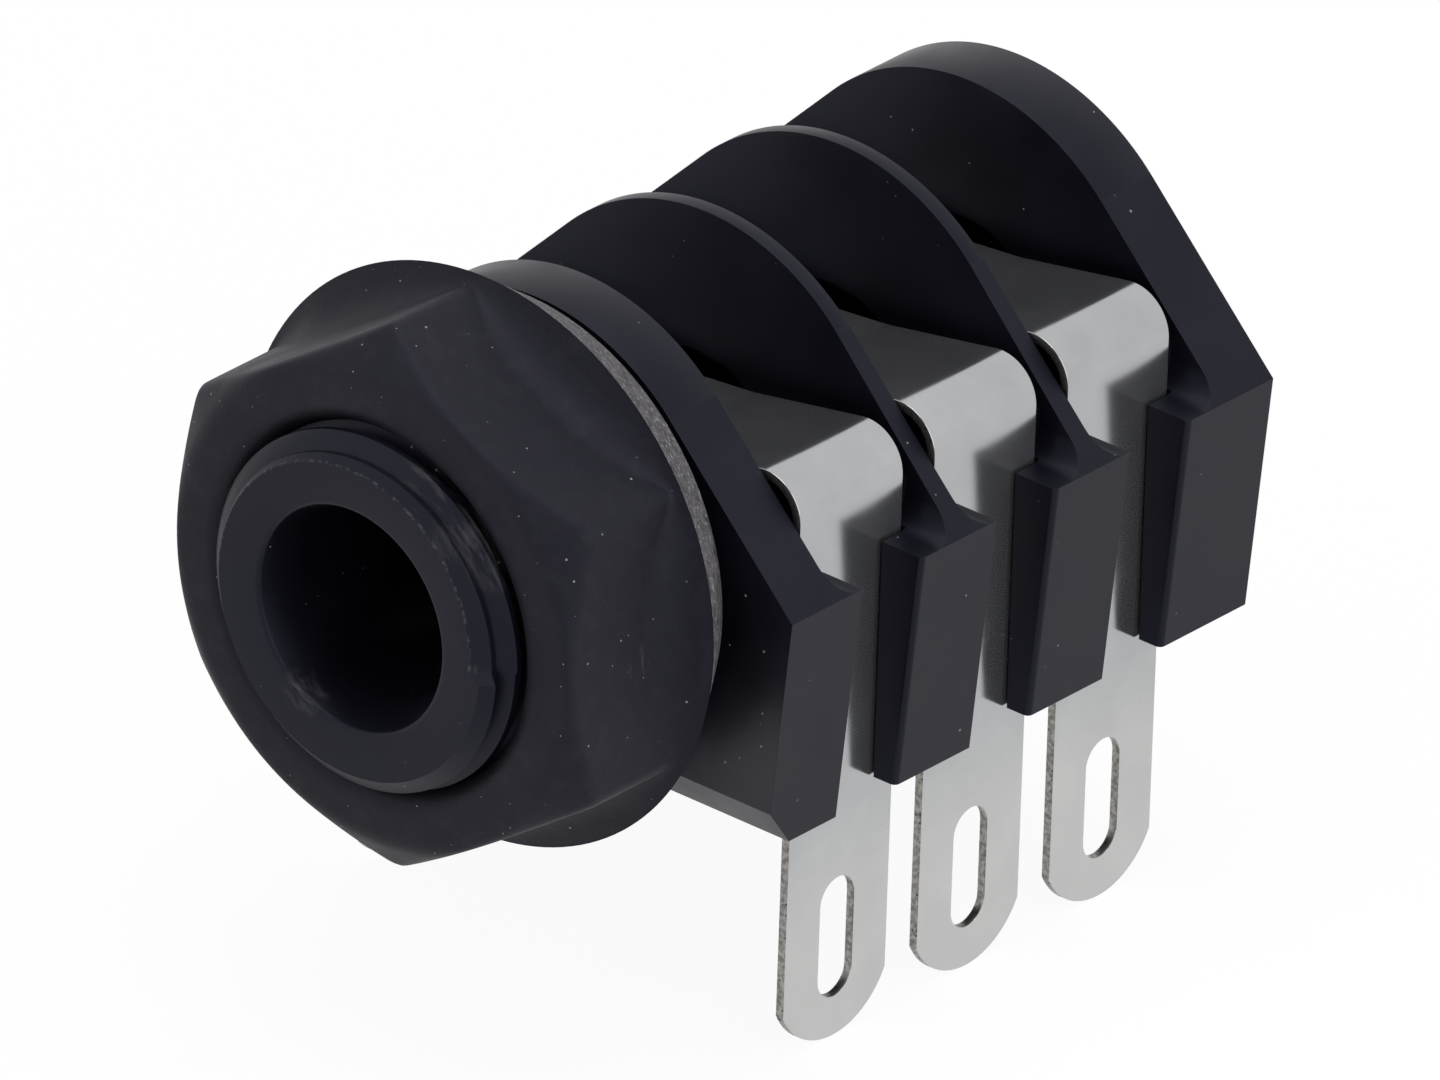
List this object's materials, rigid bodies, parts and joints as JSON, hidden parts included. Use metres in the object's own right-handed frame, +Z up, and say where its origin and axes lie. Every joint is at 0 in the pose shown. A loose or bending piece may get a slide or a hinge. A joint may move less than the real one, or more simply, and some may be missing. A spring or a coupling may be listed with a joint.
{
  "type": "audio jack socket",
  "caption": "Panel-mounting 6.35 mm jack socket with a threaded plastic bushing, flanged hex nut, strip spring contacts over an open bore, break contacts and solder tags.",
  "frame": {"origin": "on the bore axis, in the plane of the front plate's front face, which is the plane that seats on the panel", "axes": "+Y along the bore, from the mouth into the body; +Z up, away from the solder tags; +X to the right seen from the mouth, the side of the spring contacts"},
  "size_m": [0.0214, 0.0313, 0.0259],
  "materials": {
    "body_plastic": "black moulded plastic, satin",
    "nut_plastic": "black moulded plastic, matte with fine specks",
    "plated_strip": "plated strip, bright on the bends and satin on the tags"
  },
  "bodies": {
    "housing": {"body": "body_plastic", "sleeve_tag": "plated_strip", "ring_tag": "plated_strip", "tip_tag": "plated_strip", "sleeve_break_contact": "plated_strip", "ring_break_contact": "plated_strip", "tip_break_contact": "plated_strip"},
    "nut": {"panel_nut": "nut_plastic"},
    "sleeve_arm": {"sleeve_spring_arm": "plated_strip"},
    "ring_arm": {"ring_spring_arm": "plated_strip"},
    "tip_arm": {"tip_spring_arm": "plated_strip"}
  },
  "joints": [
    {"name": "nut_slide", "type": "slide", "parent": "housing", "child": "nut", "axis": [0, -1, 0], "range_m": [0, 0.0105]},
    {"name": "sleeve_arm_flex", "type": "hinge", "parent": "housing", "child": "sleeve_arm", "pos_m": [0.00881, 0.00473, 0.0004], "axis": [0, 1, 0], "range_deg": [0, 5.5], "stiffness_Nm_per_rad": 0.16, "springref_deg": -2.86},
    {"name": "ring_arm_flex", "type": "hinge", "parent": "housing", "child": "ring_arm", "pos_m": [0.00881, 0.01107, 0.0004], "axis": [0, 1, 0], "range_deg": [0, 5.5], "stiffness_Nm_per_rad": 0.16, "springref_deg": -2.86},
    {"name": "tip_arm_flex", "type": "hinge", "parent": "housing", "child": "tip_arm", "pos_m": [0.00881, 0.01742, 0.0004], "axis": [0, 1, 0], "range_deg": [0, 5.5], "stiffness_Nm_per_rad": 0.16, "springref_deg": -2.86}
  ]
}
